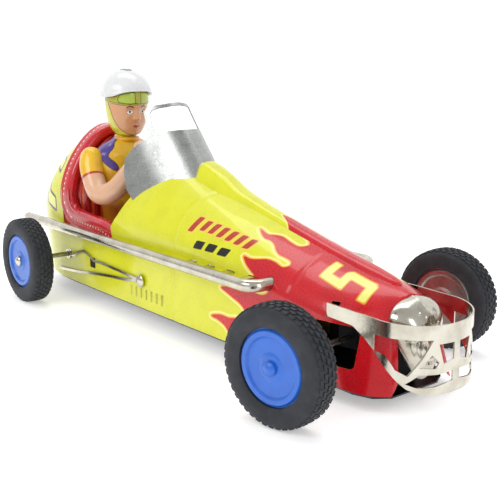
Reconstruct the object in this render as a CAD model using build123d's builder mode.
"""Friction tin racing car: pressed and printed tin body on a black base pan, rubber-tyred wheels,
a friction motor on the rear axle and a front axle that swivels on a kingpin.

Millimetres. +X points to the nose, +Y to the car's left, +Z up, and Z = 0 is the floor.
X = 0 is the rear axle while the pieces are drawn; every piece is then moved so that the
origin is under the middle of the whole car.
"""
import os
from math import asin, cos, radians, sin

from build123d import *

os.makedirs("parts", exist_ok=True)

# ---------------------------------------------------------------- driving dimensions
WHEEL_R = 36.0            # tyre outside radius, all four wheels alike
HALF_TYRE = 9.0           # half the tyre's width
WHEELBASE = 322.0
REAR_TRACK = 176.0        # between tyre centres
FRONT_TRACK = 185.0
STEER_DEG = 9.3           # the front axle is drawn turned a little to the left
AXLE_R = 2.0
RUN = 0.05                # radial running clearance of every turning shaft
TIN = 1.0                 # sheet thickness of the pressed body
CAR_MID_X = 152.5         # half way between tail and guard, measured from the rear axle

ROCKER_Z = 13.0           # bottom edge of the body side
REF_Z = 40.0              # height about which the nose sections lean

MOTOR_PLATE_Y = 14.0      # inner face of each motor plate
MOTOR_PLATE_T = 1.2
GEAR_MODULE = 0.8
BIG_TEETH = 36
SMALL_TEETH = 12
GEAR_W = 3.0
MESH_GAP = 0.25           # added to the centre distances so that the teeth run free

PIPE_Y = 56.0             # exhaust pipe, from the middle plane
PIPE_Z = 60.5
PIPE_R = 4.2
PIPE_HOLE = 9.0           # opening in the body side where the pipe goes in

# x, half width at the rocker, half width at the shoulder, rocker z, shoulder z, top z, lean
STATIONS = [
    (-84, 10, 12, 24, 46, 66, 0),
    (-79, 20.5, 23.5, 20, 54, 81, 0),
    (-65, 33, 36.5, 16, 66, 105, 0),
    (-45, 42, 44.6, 14, 78, 126, 0),
    (-20, 47, 47.8, 13, 85, 140, 0),
    (5, 48, 48, ROCKER_Z, 86, 148, 0),
    (40, 48, 48, ROCKER_Z, 80, 143, 0),
    (76, 48, 48, ROCKER_Z, 74, 135, 0),
    (100, 48, 47.5, ROCKER_Z, 71, 129, 0),
    (125, 48, 47, ROCKER_Z, 70, 124.5, 0),
    (143, 48, 46.2, ROCKER_Z, 70, 118, 0),
    (165, 47.8, 45.5, ROCKER_Z, 69, 111, 0),
    (212, 47.5, 45, ROCKER_Z, 64, 98.5, 0),
    (245, 46.5, 43.7, 12.6, 59, 90, 0),
    (290, 44, 40.5, 11.3, 52, 79.2, 0),
    (317, 42, 37.5, 10, 48, 73.5, 2),
    (338, 40, 32.5, 8.8, 45, 69.5, 5),
    (350, 35.5, 27, 8.3, 44, 66.5, 8),
    (357, 27, 21.5, 8, 43, 64.5, 11),
]
SHOULDER_PULL = 0.40      # how far the side carries on up before the arch turns in
CROWN_PULL = 0.45         # how flat the arch is at its top

CENTRE_SHIFT = Vector(-CAR_MID_X, 0, 0)


def finish(piece, name):
    """Label one piece, put it in the car's frame and write it."""
    piece.label = name
    placed = piece.moved(Location(CENTRE_SHIFT))
    placed.label = name
    export_step(placed, f"parts/{name}.step")
    return placed


def section_plane(x, lean):
    """Plane across the car at x, its top leaning back by lean degrees about REF_Z."""
    normal = (cos(radians(lean)), 0, sin(radians(lean)))
    return Plane(origin=(x, 0, REF_Z), x_dir=(0, 1, 0), z_dir=normal)


def body_form(inset, first=0, last=None, open_floor=True):
    """Solid inside the body skin, drawn in by inset all round."""
    rows = STATIONS[first:last]
    with BuildPart() as form:
        for x, rocker, shoulder, z_low, z_shoulder, z_top, lean in rows:
            if inset and x == STATIONS[0][0]:
                x += inset
            if inset and x == STATIONS[-1][0]:
                x -= inset
            floor = z_low - 4 if inset and open_floor else z_low
            rock, side = rocker - inset, shoulder - inset
            low, mid, top = floor - REF_Z, z_shoulder - REF_Z, z_top - inset - REF_Z
            rise = mid + SHOULDER_PULL * (top - mid)
            pull = CROWN_PULL * side
            with BuildSketch(section_plane(x, lean)):
                with BuildLine():
                    Line((-rock, low), (rock, low))
                    Line((rock, low), (side, mid))
                    Bezier((side, mid), (side, rise), (pull, top), (0, top))
                    Bezier((0, top), (-pull, top), (-side, rise), (-side, mid))
                    Line((-side, mid), (-rock, low))
                make_face()
        loft()
    return form.part


outer_form = body_form(0)
inner_form = body_form(TIN)


# ---------------------------------------------------------------- openings of the body, side view
COCKPIT_EDGE = [
    (-9, 170), (-9, 92), (-7, 63), (79, 59), (76, 71), (86, 82), (95, 95),
    (106, 108), (118, 117), (134, 126), (150, 140), (150, 170),
]
SEAT_EDGE = [(-8.9, 170), (-8.9, 92), (-6.9, 63.1), (78.9, 59.1), (76.2, 70)]
RIM_LINE = [(76.3, 70), (60, 74), (30, 76), (10, 77), (5, 80), (3, 88), (3, 170)]
AXLE_WINDOW = (322, 34)   # middle of the opening the front axle swings in
AXLE_WINDOW_SIZE = (40, 25)
SIDE_WINDOW = (43, 35.5)  # square opening ahead of the rear axle
PIPE_TABS_X = (190, 211, 232, 253)
PIPE_TAB_Z = 62.5
PIPE_END_X = 268.0
BUTTON = (122, 35)        # radius rod button


def side_prism(points):
    """Block right through the car with a closed outline drawn in side view."""
    with BuildPart() as prism:
        with BuildSketch(Plane.XZ):
            with BuildLine():
                Polyline(*points, close=True)
            make_face()
        extrude(amount=90, both=True)
    return prism.part


def window_prism(centre, width, height, corner):
    """Block right through the car with a rounded rectangle in side view."""
    with BuildPart() as prism:
        with BuildSketch(Plane.XZ):
            with Locations(centre):
                RectangleRounded(width, height, corner)
        extrude(amount=90, both=True)
    return prism.part


# grille outline on the nose face: half width and height above REF_Z
GRILLE_EDGE = [(0, 24), (13, 21), (21, 9), (16.5, -4), (11.5, -16), (5, -25), (0, -27.5)]
NOSE_X, NOSE_LEAN = STATIONS[-1][0], STATIONS[-1][6]


def grille_face(scale, away=0.0):
    """The egg-shaped grille outline, scaled, on a plane away in front of the nose face."""
    right = [(y * scale, 2 + (z - 2) * scale) for y, z in GRILLE_EDGE]
    left = [(-y, z) for y, z in reversed(right)]
    with BuildSketch(section_plane(NOSE_X, NOSE_LEAN).offset(away)) as face:
        with BuildLine():
            Spline(*right, tangents=[(1, 0), (-1, 0)])
            Spline(*left, tangents=[(-1, 0), (1, 0)])
        make_face()
    return face.sketch


# ---------------------------------------------------------------- windscreen sheet (needed by the body)
SCREEN_Z = 122.0
SCREEN_PLAN = [(74, -42), (104, -31.5), (133, -17), (145, 0), (133, 17), (104, 31.5), (74, 42)]
SCREEN_RAKE = (-0.655, 0, 0.755)
SCREEN_TABS_Y = (-33, -21, 21, 33)


def screen_sheet(thickness, reach_down, reach_up):
    """Leaning sheet, V-shaped in plan, that the windscreen and its slots are cut from."""
    rake = Vector(*SCREEN_RAKE)
    foot = Vector(0, 0, SCREEN_Z) - rake * reach_down
    with BuildPart() as sheet:
        with BuildSketch(Plane(origin=foot)):
            with BuildLine():
                Spline(*SCREEN_PLAN, tangents=[(30, 9), (-30, 9)])
            trace(line_width=thickness)
        extrude(amount=reach_down + reach_up, dir=rake)
    return sheet.part


def between_tabs(tab_width):
    """Everything across the car except the strips where the windscreen tabs go down."""
    with BuildPart() as block:
        with Locations((118, 0, 110)):
            Box(80, 120, 80)
        with Locations(*[(118, y, 110) for y in SCREEN_TABS_Y]):
            Box(80, tab_width, 80, mode=Mode.SUBTRACT)
    return block.part


with BuildPart() as tab_slots:
    add(screen_sheet(1.5, 50, 20))
    add(between_tabs(6.4), mode=Mode.SUBTRACT)

# ---------------------------------------------------------------- body sides
with BuildPart() as body_shell:
    add(outer_form)
    add(inner_form, mode=Mode.SUBTRACT)
    add(side_prism(COCKPIT_EDGE), mode=Mode.SUBTRACT)
    add(window_prism(AXLE_WINDOW, *AXLE_WINDOW_SIZE, 3), mode=Mode.SUBTRACT)
    add(window_prism(SIDE_WINDOW, 9, 9, 0.6), mode=Mode.SUBTRACT)
    add(window_prism((0, WHEEL_R), 9, 9, 4), mode=Mode.SUBTRACT)
    add(window_prism((PIPE_END_X, PIPE_Z), PIPE_HOLE, PIPE_HOLE, PIPE_HOLE / 2 - 0.1), mode=Mode.SUBTRACT)
    for tab_x in PIPE_TABS_X:
        add(window_prism((tab_x, PIPE_TAB_Z), 8, 1.4, 0.3), mode=Mode.SUBTRACT)
    add(window_prism((321, 54), 6, 9, 0.5), mode=Mode.SUBTRACT)
    add(window_prism(BUTTON, 3.1, 3.1, 1.5), mode=Mode.SUBTRACT)
    add(tab_slots.part, mode=Mode.SUBTRACT)
    extrude(grille_face(0.90, -6), amount=12, mode=Mode.SUBTRACT)

with BuildPart() as body_side:
    add(body_shell.part)
    split(bisect_by=Plane.XZ, keep=Keep.TOP)
finish(body_side.part, "body_side_right")
finish(body_side.part.mirror(Plane.XZ), "body_side_left")

# ---------------------------------------------------------------- hood spine
# x, half width, height above the hood crown, hood crown z
SPINE = [
    (138, 13, 9.5, 119.7), (150, 13, 10.5, 115.8), (165, 12.5, 10, 111), (186, 11, 5.8, 105.2),
    (212, 9.5, 4.2, 98.5), (249, 8.5, 3.6, 89.1), (293, 8, 3.2, 78.6), (330, 7.5, 2.8, 71),
    (344, 6, 1.6, 68.2),
]


def spine_form(inset):
    with BuildPart() as form:
        for x, half, rise, crown in SPINE:
            half -= inset
            top = crown + rise - inset
            foot = crown - 7
            with BuildSketch(section_plane(x, 0)):
                with BuildLine():
                    Line((-half, foot - REF_Z), (half, foot - REF_Z))
                    Line((half, foot - REF_Z), (half * 0.92, crown - REF_Z))
                    Bezier((half * 0.92, crown - REF_Z), (half * 0.8, top - REF_Z), (0, top - REF_Z))
                    Bezier((0, top - REF_Z), (-half * 0.8, top - REF_Z), (-half * 0.92, crown - REF_Z))
                    Line((-half * 0.92, crown - REF_Z), (-half, foot - REF_Z))
                make_face()
        loft()
    return form.part


spine_outer = spine_form(0)
with BuildPart() as hood_spine:
    add(spine_outer)
    add(spine_form(0.8), mode=Mode.SUBTRACT)
    add(outer_form, mode=Mode.SUBTRACT)
finish(hood_spine.part, "hood_spine")

# ---------------------------------------------------------------- red seat shell
ROLL = 8.0                # width of the rolled rim
TUB_FLOOR_Z = 60.0
cabin_out = body_form(ROLL, 3, 10, open_floor=False)
cabin_in = body_form(ROLL + TIN, 3, 10, open_floor=False)
cabin_skin = body_form(0, 3, 10)
cabin_core = body_form(TIN, 3, 10)


with BuildPart() as seat_outer_wall:
    add(cabin_skin)
    add(cabin_core, mode=Mode.SUBTRACT)
    add(side_prism(SEAT_EDGE + RIM_LINE[1:]), mode=Mode.INTERSECT)

with BuildPart() as seat_inner_wall:
    add(cabin_out)
    add(cabin_in, mode=Mode.SUBTRACT)
    well = [(3, TUB_FLOOR_Z), (76.3, TUB_FLOOR_Z), (76.3, 70)] + RIM_LINE[1:4] + [(3, 77)]
    add(side_prism(well), mode=Mode.INTERSECT)

with BuildPart() as seat_rim:
    add(cabin_skin)
    add(cabin_in, mode=Mode.SUBTRACT)
    under_rim = [(3, 150), (2, 150), (2, 87), (4.2, 79.2), (9.6, 76), (30, 75), (60, 73), (76.3, 69)]
    add(side_prism(RIM_LINE[:6] + under_rim), mode=Mode.INTERSECT)

with BuildPart() as seat_back_panel:
    add(cabin_core)
    back_strip = [(2, TUB_FLOOR_Z - 1), (3, TUB_FLOOR_Z - 1), (3, 160), (2, 160)]
    add(side_prism(back_strip), mode=Mode.INTERSECT)

with BuildPart() as seat_floor:
    add(cabin_out)
    floor_strip = [(2, TUB_FLOOR_Z - 1), (77.3, TUB_FLOOR_Z - 1), (77.3, TUB_FLOOR_Z), (2, TUB_FLOOR_Z)]
    add(side_prism(floor_strip), mode=Mode.INTERSECT)

with BuildPart() as seat_front_wall:
    add(cabin_out)
    front_strip = [(76.3, TUB_FLOOR_Z - 1), (77.3, TUB_FLOOR_Z - 1), (77.3, 70), (76.3, 70)]
    add(side_prism(front_strip), mode=Mode.INTERSECT)

with BuildPart() as seat_shell:
    for sheet in (seat_outer_wall, seat_inner_wall, seat_rim, seat_back_panel, seat_floor, seat_front_wall):
        add(sheet.part)
finish(seat_shell.part, "seat_shell")

# ---------------------------------------------------------------- base pan
# x, half width, rim z, floor z: a shallow dish that deepens into a chin under the nose
PAN = [
    (-80, 16, 19, 16.5), (-65, 33, 15.8, 12.6), (-45, 42.2, 13.9, 11.2), (-20, 47.3, 12.9, 10.6),
    (5, 48.3, 12.9, 10.6), (212, 47.8, 12.9, 10.6), (245, 46.8, 12.5, 10.2), (290, 43.5, 11.2, 8.4),
    (317, 40.5, 9.9, 6), (338, 38, 8.7, 4.2), (350, 33, 8.2, 3.8), (358, 24, 8, 4.4),
]


def pan_form(inset, lift):
    with BuildPart() as form:
        for x, half, rim, floor in PAN:
            corner = min(4.0, (rim - floor) * 0.9)
            with BuildSketch(section_plane(x, 0)):
                with BuildLine():
                    Polyline(
                        (-half + inset, rim + lift - REF_Z),
                        (half - inset, rim + lift - REF_Z),
                        (half - inset - corner, floor + inset - REF_Z),
                        (-half + inset + corner, floor + inset - REF_Z),
                        close=True,
                    )
                make_face()
        loft(ruled=True)
    return form.part


with BuildPart() as base_pan:
    add(pan_form(0, 0))
    add(pan_form(TIN, 0.5), mode=Mode.SUBTRACT)
finish(base_pan.part, "base_pan")

# ---------------------------------------------------------------- windscreen
SCREEN_SIDE = [
    (96, 92), (88, 108), (86.3, 116), (85.2, 126), (88, 132), (91, 135.3), (96, 140), (99.5, 143.5),
    (90.2, 162), (92.5, 165.3), (96.7, 167.5), (103.2, 169.7), (110, 170.5), (150, 125), (152, 118),
    (140, 110), (120, 100),
]
SCREEN_WINDOW = [
    (104.2, 145.4), (96.3, 159.7), (96.6, 163.1), (99.3, 165.5), (104.5, 167.5), (107, 167.9),
    (124, 149.6), (118.6, 149.2), (111.4, 148),
]

with BuildPart() as windscreen:
    add(screen_sheet(0.9, 50, 75))
    add(side_prism(SCREEN_SIDE), mode=Mode.INTERSECT)
    add(side_prism(SCREEN_WINDOW), mode=Mode.SUBTRACT)
    add(outer_form, mode=Mode.SUBTRACT)
    add(spine_outer, mode=Mode.SUBTRACT)

with BuildPart() as screen_tabs:
    add(screen_sheet(0.9, 50, 20))
    add(between_tabs(5.6), mode=Mode.SUBTRACT)
    add(outer_form, mode=Mode.INTERSECT)
    add(body_form(5), mode=Mode.SUBTRACT)

with BuildPart() as windscreen_whole:
    add(windscreen.part)
    add(screen_tabs.part)
finish(windscreen_whole.part, "windscreen")

# ---------------------------------------------------------------- grille
DOME = [(0.0, 1.0), (4, 0.96), (8, 0.84), (11, 0.62), (13, 0.30)]


def grille_dome(shrink, back):
    with BuildPart() as dome:
        loft([grille_face(scale - shrink, away - back).face() for away, scale in DOME])
    return dome.part


with BuildPart() as grille:
    add(grille_dome(0, 0))
    add(grille_dome(0.05, 0.9), mode=Mode.SUBTRACT)
finish(grille.part, "grille")

# ---------------------------------------------------------------- front guard
GUARD_Y = 37.0
GUARD_CORNER_X = 358.0
GUARD_NOSE = 30.0
GUARD_T = 1.0
GUARD_SIDE = [
    (312, 58.2), (358, 57.2), (376, 55.8), (392, 54.6), (392, 13.5), (387, 13.5), (381, 15), (376, 18),
    (370.5, 23.5), (364, 31), (357.5, 38), (350, 43.5), (340, 48.8), (312, 50),
]


def guard_block(grow):
    """Block with a U-shaped plan: straight arms and a half-ellipse round the nose."""
    with BuildPart() as block:
        with BuildSketch(Plane.XY.offset(5)):
            with Locations((GUARD_CORNER_X, 0)):
                Ellipse(GUARD_NOSE + grow, GUARD_Y + grow)
            with Locations((GUARD_CORNER_X - 26, 0)):
                Rectangle(52, 2 * (GUARD_Y + grow))
        extrude(amount=60)
    return block.part


def front_prism(points):
    """Block ahead of the guard's corners with a closed outline drawn in front view."""
    with BuildPart() as prism:
        with BuildSketch(Plane.YZ.offset(GUARD_CORNER_X - 1)):
            with BuildLine():
                Polyline(*points, close=True)
            make_face()
        extrude(amount=60)
    return prism.part


GUARD_CUTS = [
    [(-40, 48), (-34.8, 47.6), (-17, 46.8), (-22, 37), (-29, 25.5), (-33.5, 29), (-36, 37), (-40, 42)],
    [(-13.5, 44), (-2.5, 44), (-2.5, 34), (-10, 31.5)],
    [(-24, 30.5), (-17.5, 38), (-13, 33), (-15, 29.5)],
    [(-30, 21), (-24, 26.5), (-14, 26), (-3, 27), (-3, 21), (-16, 18.6), (-25, 18.6)],
]

with BuildPart() as guard:
    add(guard_block(0))
    add(guard_block(-GUARD_T), mode=Mode.SUBTRACT)
    with Locations((GUARD_CORNER_X - 68, 0, 40)):
        Box(56, 120, 80, mode=Mode.SUBTRACT)
    add(side_prism(GUARD_SIDE), mode=Mode.INTERSECT)
    for cut in GUARD_CUTS:
        add(front_prism(cut), mode=Mode.SUBTRACT)
        add(front_prism([(-y, z) for y, z in cut]), mode=Mode.SUBTRACT)
finish(guard.part, "front_guard")

# ---------------------------------------------------------------- exhaust pipes
for side_name, side in (("right", -1), ("left", 1)):
    with BuildPart() as exhaust:
        with BuildLine() as pipe_path:
            FilletPolyline(
                (-64, side * PIPE_Y, PIPE_Z + 1),
                (PIPE_END_X, side * PIPE_Y, PIPE_Z),
                (PIPE_END_X, side * 39, PIPE_Z),
                radius=9,
            )
        with BuildSketch(Plane(origin=(-64, side * PIPE_Y, PIPE_Z + 1), z_dir=(1, 0, 0))):
            Circle(PIPE_R)
            Circle(PIPE_R - 0.8, mode=Mode.SUBTRACT)
        sweep()
        for tab_x in PIPE_TABS_X:
            with Locations((tab_x, side * (PIPE_Y - 3.4 - 5.6), PIPE_TAB_Z)):
                Box(7, 11.2, 0.8)
    finish(exhaust.part, f"exhaust_pipe_{side_name}")

def dome_middle(rim_r, rim_h, top_h):
    """Half-way point of a dome's profile, an arc centred on the turning axis."""
    rise = top_h - rim_h
    ball = (rim_r ** 2 + rise ** 2) / (2 * rise)
    half_angle = asin(rim_r / ball) / 2
    return (ball * sin(half_angle), top_h - ball * (1 - cos(half_angle)))


# ---------------------------------------------------------------- radius rods and their buttons
ROD_Y = 49.0
ROD_W = 2.2
UPPER_ARM = [BUTTON, (90, 37), (58, 38.2), (46, 37.6), (40, 40.5), (31, 43.4), (20, 40.8), (11, 36.2), (3, 36)]
LOWER_ARM = [BUTTON, (98, 31.4), (74, 29.6), (51, 27.2), (20, 23), (-20, 19.6)]
EYE_R = 4.4               # eye of the rod, loose round the rear axle

for side_name, side in (("right", -1), ("left", 1)):
    inner_y = ROD_Y if side > 0 else -ROD_Y - 0.8
    with BuildPart() as radius_rod:
        with BuildSketch(Plane.XZ.offset(-inner_y - 0.8)):
            with BuildLine():
                Polyline(*UPPER_ARM)
            trace(line_width=ROD_W)
            with BuildLine():
                Polyline(*LOWER_ARM)
            trace(line_width=ROD_W)
            with Locations((0, WHEEL_R)):
                Circle(EYE_R)
                Circle(AXLE_R + 0.6, mode=Mode.SUBTRACT)
            with Locations(BUTTON):
                Circle(3.2)
                Circle(1.5, mode=Mode.SUBTRACT)
        extrude(amount=0.8)
    finish(radius_rod.part, f"radius_rod_{side_name}")
    face = ROD_Y + 0.8
    with BuildPart() as rod_button:
        with BuildSketch(Plane.XY):
            with BuildLine():
                Polyline((0, 46.0), (1.45, 46.0), (1.45, face), (5, face), (5, face + 0.8))
                ThreePointArc((5, face + 0.8), dome_middle(5, face + 0.8, face + 2.8), (0, face + 2.8))
                Line((0, face + 2.8), (0, 46.0))
            make_face()
        revolve(axis=Axis.Y)
    placed_button = rod_button.part if side > 0 else rod_button.part.mirror(Plane.XZ)
    finish(placed_button.moved(Location((BUTTON[0], 0, BUTTON[1]))), f"rod_button_{side_name}")

# ---------------------------------------------------------------- wheels
DISC_R = 22.6
HUB_R = 4.2


def tyre_ring():
    """Rubber tyre about Y, middle plane at Y = 0, with cut tread grooves."""
    with BuildPart() as tyre:
        with BuildSketch(Plane.XY):
            with BuildLine():
                Polyline((20.5, 0), (20.5, 5.5), (DISC_R, 5.5), (DISC_R, 8), (24.6, HALF_TYRE), (31, HALF_TYRE))
                ThreePointArc((31, HALF_TYRE), (34.0, 8.2), (35.4, 6.6))
                ThreePointArc((35.4, 6.6), (WHEEL_R, 0), (35.4, -6.6))
                ThreePointArc((35.4, -6.6), (34.0, -8.2), (31, -HALF_TYRE))
                Polyline((31, -HALF_TYRE), (24.6, -HALF_TYRE), (DISC_R, -8), (DISC_R, -5.5), (20.5, -5.5))
                Line((20.5, -5.5), (20.5, 0))
            make_face()
        revolve(axis=Axis.Y)
        for groove_y in (-3.6, 0, 3.6):
            with BuildSketch(Plane.XY):
                with Locations((WHEEL_R, groove_y)):
                    Rectangle(2.2, 0.9)
            revolve(axis=Axis.Y, mode=Mode.SUBTRACT)
    return tyre.part


def wheel_disc(face):
    """Pressed disc about Y with a raised ring and a centre boss; face is +1 for the outward side."""
    with BuildPart() as disc:
        with BuildSketch(Plane.XY):
            with BuildLine():
                Polyline(
                    (AXLE_R, 3.2), (HUB_R, 3.2), (HUB_R, 6.2), (6.5, 6.2), (8.5, 5.6), (17.4, 5.6),
                    (18.6, 7.0), (20.6, 7.0), (21.8, 5.5), (DISC_R, 5.5), (DISC_R, 6.3), (22.2, 6.3),
                    (21.0, 7.8), (18.2, 7.8), (17.0, 6.4), (8.9, 6.4), (6.9, 7.0), (AXLE_R, 7.0),
                    close=True,
                )
            make_face()
        revolve(axis=Axis.Y)
    return disc.part if face > 0 else disc.part.mirror(Plane.XZ)


def axle_cap(face):
    """Small domed nickel cap pressed on the axle's end."""
    with BuildPart() as cap:
        with BuildSketch(Plane.XY):
            with BuildLine():
                Polyline((0, 8.2), (AXLE_R, 8.2), (AXLE_R, 7.05), (4.3, 7.05), (4.3, 8.6))
                ThreePointArc((4.3, 8.6), dome_middle(4.3, 8.6, 10.7), (0, 10.7))
                Line((0, 10.7), (0, 8.2))
            make_face()
        revolve(axis=Axis.Y)
    return cap.part if face > 0 else cap.part.mirror(Plane.XZ)


tyre_shape = tyre_ring()
rear_place = Location((0, 0, WHEEL_R))
front_place = Location((WHEELBASE, 0, WHEEL_R), (0, 0, STEER_DEG))

for end, place, track in (("rear", rear_place, REAR_TRACK), ("front", front_place, FRONT_TRACK)):
    for side_name, side in (("right", -1), ("left", 1)):
        wheel_place = place * Location((0, side * track / 2, 0))
        finish(tyre_shape.moved(wheel_place), f"{end}_tyre_{side_name}")
        finish(wheel_disc(side).moved(wheel_place), f"{end}_disc_outer_{side_name}")
        finish(wheel_disc(-side).moved(wheel_place), f"{end}_disc_inner_{side_name}")
        finish(axle_cap(side).moved(wheel_place), f"{end}_axle_cap_{side_name}")

    with BuildPart() as axle:
        with BuildSketch(Plane.XZ):
            Circle(AXLE_R)
        extrude(amount=track / 2 + 8.2, both=True)
    finish(axle.part.moved(place), f"{end}_axle")

# ---------------------------------------------------------------- friction motor
SHAFT_R = 1.5
GEAR_RATIO = BIG_TEETH / SMALL_TEETH
CENTRES = GEAR_MODULE * (BIG_TEETH + SMALL_TEETH) / 2 + MESH_GAP
IDLER_RISE = 12.0         # degrees above the axle's level
FLY_RISE = -14.0
idler_x = CENTRES * cos(radians(IDLER_RISE))
idler_z = WHEEL_R + CENTRES * sin(radians(IDLER_RISE))
fly_x = idler_x + CENTRES * cos(radians(FLY_RISE))
fly_z = idler_z + CENTRES * sin(radians(FLY_RISE))
FLYWHEEL_R = 16.4
FLYWHEEL_W = 9.0


def gear(teeth, y_low, width, bore, at, turn):
    """Spur gear about Y, tapered teeth; turn is the angle of one tooth above the X axis."""
    pitch_r = GEAR_MODULE * teeth / 2
    tip_r = pitch_r + 0.8 * GEAR_MODULE
    root_r = pitch_r - 1.15 * GEAR_MODULE
    tooth = 360 / teeth
    wide, narrow = 0.27 * tooth, 0.10 * tooth
    with BuildPart() as body:
        with BuildSketch(Plane(origin=(at[0], y_low, at[1]), x_dir=(1, 0, 0), z_dir=(0, 1, 0))):
            Circle(root_r + 0.05)
            for i in range(teeth):
                middle = -(turn + i * tooth)
                corners = []
                for radius, swing in ((root_r, -wide), (tip_r, -narrow), (tip_r, narrow), (root_r, wide)):
                    angle = radians(middle + swing)
                    corners.append((radius * cos(angle), radius * sin(angle)))
                with BuildLine():
                    Polyline(*corners, close=True)
                make_face()
            Circle(bore, mode=Mode.SUBTRACT)
        extrude(amount=width)
    return body.part


# the line from one gear's centre to the next, as an angle above the X axis
BIG_PITCH = 360 / BIG_TEETH
SMALL_PITCH = 360 / SMALL_TEETH
MESH_IN, MESH_OUT = IDLER_RISE, FLY_RISE
finish(gear(BIG_TEETH, 8, GEAR_W, AXLE_R, (0, WHEEL_R), MESH_IN), "drive_gear")
finish(
    gear(SMALL_TEETH, 8, GEAR_W, SHAFT_R, (idler_x, idler_z), MESH_IN + 180 + SMALL_PITCH / 2),
    "idler_pinion",
)
finish(gear(BIG_TEETH, -11, GEAR_W, SHAFT_R, (idler_x, idler_z), MESH_OUT), "idler_gear")
finish(
    gear(SMALL_TEETH, -11, GEAR_W, SHAFT_R, (fly_x, fly_z), MESH_OUT + 180 + SMALL_PITCH / 2),
    "flywheel_pinion",
)


def cross_shaft(at, radius, half_length):
    with BuildPart() as shaft:
        with BuildSketch(Plane.XZ):
            with Locations(at):
                Circle(radius)
        extrude(amount=half_length, both=True)
    return shaft.part


SHAFT_HALF = MOTOR_PLATE_Y + MOTOR_PLATE_T + 1.5
finish(cross_shaft((idler_x, idler_z), SHAFT_R, SHAFT_HALF), "idler_shaft")
finish(cross_shaft((fly_x, fly_z), SHAFT_R, SHAFT_HALF), "flywheel_shaft")

with BuildPart() as flywheel:
    with BuildSketch(Plane.XZ):
        with Locations((fly_x, fly_z)):
            Circle(FLYWHEEL_R)
            Circle(SHAFT_R, mode=Mode.SUBTRACT)
    extrude(amount=FLYWHEEL_W / 2, both=True)
    rims = flywheel.edges().filter_by(GeomType.CIRCLE).filter_by(lambda edge: edge.radius > 10)
    chamfer(rims, 0.8)
finish(flywheel.part, "flywheel")

PLATE_LOW_Z = 12.05
PLATE_HIGH_Z = 57.5
SPACERS = [(-8, 53.5), (50, 53.5), (52, 18)]
for side_name, side in (("right", -1), ("left", 1)):
    outer = MOTOR_PLATE_Y + MOTOR_PLATE_T
    plate_origin = -MOTOR_PLATE_Y if side > 0 else outer
    with BuildPart() as motor_plate:
        with BuildSketch(Plane.XZ.offset(plate_origin)):
            with BuildLine():
                Polyline(
                    (-12, 24), (-6, PLATE_LOW_Z), (56, PLATE_LOW_Z), (58, 24), (54, PLATE_HIGH_Z),
                    (-12, PLATE_HIGH_Z), close=True,
                )
            make_face()
            with Locations((0, WHEEL_R)):
                Circle(AXLE_R + RUN, mode=Mode.SUBTRACT)
            with Locations((idler_x, idler_z), (fly_x, fly_z)):
                Circle(SHAFT_R + RUN, mode=Mode.SUBTRACT)
            with Locations(*SPACERS):
                Circle(1.2, mode=Mode.SUBTRACT)
        extrude(amount=-MOTOR_PLATE_T)
    finish(motor_plate.part, f"motor_plate_{side_name}")

with BuildPart() as motor_spacers:
    with BuildSketch(Plane.XZ):
        with Locations(*SPACERS):
            Circle(2.4)
    extrude(amount=MOTOR_PLATE_Y, both=True)
    with BuildSketch(Plane.XZ):
        with Locations(*SPACERS):
            Circle(1.2)
    extrude(amount=MOTOR_PLATE_Y + MOTOR_PLATE_T + 0.8, both=True)
finish(motor_spacers.part, "motor_spacers")

# ---------------------------------------------------------------- front swivel
BRIDGE_TOP = 50.0
BRIDGE_HALF = 11.0
BRACKET_TOP = 47.6
EAR_Y = 27.0
KINGPIN_R = 2.0

with BuildPart() as front_bridge:
    with BuildSketch(Plane.XZ):
        with BuildLine():
            Polyline(
                (293, 9.6), (294.2, 9.6), (296, BRIDGE_TOP - 1.2), (346, BRIDGE_TOP - 1.2), (347, 5.2),
                (348.2, 5.2), (347.4, BRIDGE_TOP), (294.8, BRIDGE_TOP),
                close=True,
            )
        make_face()
    extrude(amount=BRIDGE_HALF, both=True)
    with BuildSketch(Plane.XY.offset(BRIDGE_TOP)):
        with Locations((WHEELBASE, 0)):
            Circle(KINGPIN_R + RUN)
    extrude(amount=-4, mode=Mode.SUBTRACT)
finish(front_bridge.part, "front_bridge")

with BuildPart() as bracket:
    with Locations((0, 0, BRACKET_TOP - 0.6)):
        Box(14, 2 * EAR_Y, 1.2)
    with Locations((0, EAR_Y - 0.6, BRACKET_TOP - 9.2), (0, -EAR_Y + 0.6, BRACKET_TOP - 9.2)):
        Box(14, 1.2, 18.4)
    with BuildSketch(Plane.XY.offset(BRACKET_TOP)):
        Circle(KINGPIN_R + RUN)
    extrude(amount=-3, mode=Mode.SUBTRACT)
    with BuildSketch(Plane.XZ):
        with Locations((0, WHEEL_R)):
            Circle(AXLE_R + RUN)
    extrude(amount=EAR_Y + 2, both=True, mode=Mode.SUBTRACT)
swivel_place = Location((WHEELBASE, 0, 0), (0, 0, STEER_DEG))
finish(bracket.part.moved(swivel_place), "swivel_bracket")

with BuildPart() as kingpin:
    with BuildSketch(Plane.XZ):
        with BuildLine():
            Polyline(
                (0, 44.4), (3.6, 44.4), (3.6, 46.1), (KINGPIN_R, 46.1), (KINGPIN_R, BRIDGE_TOP + 0.1),
                (3.8, BRIDGE_TOP + 0.1), (3.8, BRIDGE_TOP + 1.2), (0, BRIDGE_TOP + 1.8),
                close=True,
            )
        make_face()
    revolve(axis=Axis.Z)
finish(kingpin.part.moved(Location((WHEELBASE, 0, 0))), "kingpin_rivet")

with BuildPart() as washer:
    with BuildSketch(Plane.XY.offset(BRACKET_TOP + 0.15)):
        Circle(5.5)
        Circle(KINGPIN_R + 0.3, mode=Mode.SUBTRACT)
    extrude(amount=0.9)
finish(washer.part.moved(Location((WHEELBASE, 0, 0))), "swivel_washer")

# ---------------------------------------------------------------- driver
DRIVER_X = 22.0
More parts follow.
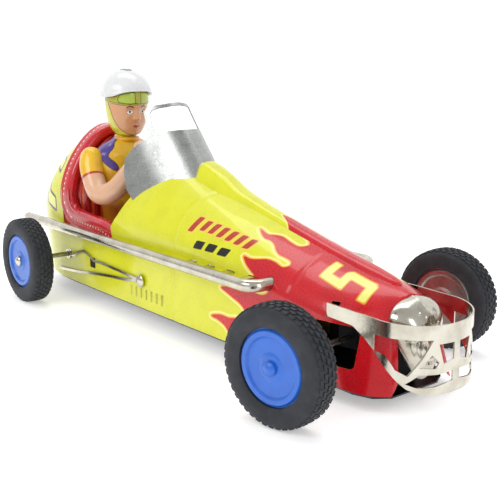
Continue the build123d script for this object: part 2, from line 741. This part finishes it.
# z, half depth, half width
CHEST = [
    (60.0, 15, 22), (80, 16, 24), (100, 17, 26), (118, 16, 28), (129, 13, 25), (135, 9, 16), (139, 7.5, 9),
]


def torso_form(shrink, drop):
    """Front half of the chest, rounded in plan, its flat back on the split between the halves."""
    with BuildPart() as form:
        for z, deep, wide in CHEST:
            half = wide - shrink
            reach = 4 / 3 * (deep - shrink)
            with BuildSketch(Plane.XY.offset(z - drop)):
                with BuildLine():
                    Line((0, half), (0, -half))
                    Bezier((0, -half), (reach, -half), (reach, half), (0, half))
                make_face()
        loft(ruled=True)
    return form.part


with BuildPart() as torso_half:
    add(torso_form(0, 0))
    add(torso_form(0.9, 0.9), mode=Mode.SUBTRACT)
chest_place = Location((DRIVER_X, 0, 0))
finish(torso_half.part.moved(chest_place), "driver_torso_front")
finish(torso_half.part.mirror(Plane.YZ).moved(chest_place), "driver_torso_back")

HEAD_X = 26.0
HEAD_PROFILE = [(0, 139.1), (7.5, 139.4), (13.5, 143), (17.6, 151), (19, 161), (19.6, 173.9), (0, 173.9)]
HEAD_HOLLOW = [(0, 140.5), (7, 140.8), (12.5, 144.2), (16.5, 151.5), (17.9, 161), (18.6, 175), (0, 175)]
with BuildPart() as head:
    with BuildSketch(Plane.XZ):
        with BuildLine():
            Polyline(*HEAD_PROFILE, close=True)
        make_face()
    revolve(axis=Axis.Z)
    with BuildSketch(Plane.XZ):
        with BuildLine():
            Polyline(*HEAD_HOLLOW, close=True)
        make_face()
    revolve(axis=Axis.Z, mode=Mode.SUBTRACT)
finish(head.part.moved(Location((HEAD_X, 0, 0))), "driver_head")

RIM_Z = 172.6
CAP_Z = 196.2
with BuildPart() as helmet:
    with BuildSketch(Plane.XZ):
        with BuildLine():
            Polyline((20.7, RIM_Z), (22.3, RIM_Z), (22.8, RIM_Z + 1), (22.3, RIM_Z + 2.2), (21.8, RIM_Z + 3))
            ThreePointArc((21.8, RIM_Z + 3), dome_middle(21.8, RIM_Z + 3, CAP_Z), (0, CAP_Z))
            Line((0, CAP_Z), (0, CAP_Z - 1))
            ThreePointArc((0, CAP_Z - 1), dome_middle(20.8, RIM_Z + 3, CAP_Z - 1), (20.8, RIM_Z + 3))
            Line((20.8, RIM_Z + 3), (20.7, RIM_Z))
        make_face()
    revolve(axis=Axis.Z)
finish(helmet.part.moved(Location((HEAD_X, 0, 0))), "driver_helmet")

ARM_R = 7.0
WHEEL_AT = (72.0, 0.0, 119.0)
for side_name, side in (("right", -1), ("left", 1)):
    shoulder = (16, side * 35, 128)
    with BuildPart() as arm:
        with BuildLine():
            FilletPolyline(shoulder, (42, side * 35.5, 86), (61, side * 17, 124), radius=9)
        with BuildSketch(Plane(origin=shoulder, z_dir=(26, side * 0.5, -42))):
            Circle(ARM_R - 0.6)
        sweep()
        with Locations(shoulder):
            Sphere(ARM_R)
    finish(arm.part, f"driver_arm_{side_name}")

WHEEL_TILT = 50.0
with BuildPart() as steering_wheel:
    Torus(16, 1.4)
    Cylinder(3.6, 2.4)
    with PolarLocations(9, 3, start_angle=90):
        Box(13.4, 2.2, 1.2)
    Cylinder(1.5, 3, mode=Mode.SUBTRACT)
wheel_place = Location(WHEEL_AT, (0, -WHEEL_TILT, 0))
finish(steering_wheel.part.moved(wheel_place), "steering_wheel")

COLUMN_BEND = (88.0, 0.0, 105.6)
COLUMN_FOOT = (69.5, 0.0, TUB_FLOOR_Z + 0.6)
hub_back = (WHEEL_AT[0] + 1.0, 0.0, WHEEL_AT[2] - 0.84)
with BuildPart() as column:
    with BuildLine():
        FilletPolyline(hub_back, COLUMN_BEND, COLUMN_FOOT, radius=6)
    with BuildSketch(Plane(origin=hub_back, z_dir=Vector(*COLUMN_BEND) - Vector(*hub_back))):
        Circle(1.45)
    sweep()
finish(column.part, "steering_column")
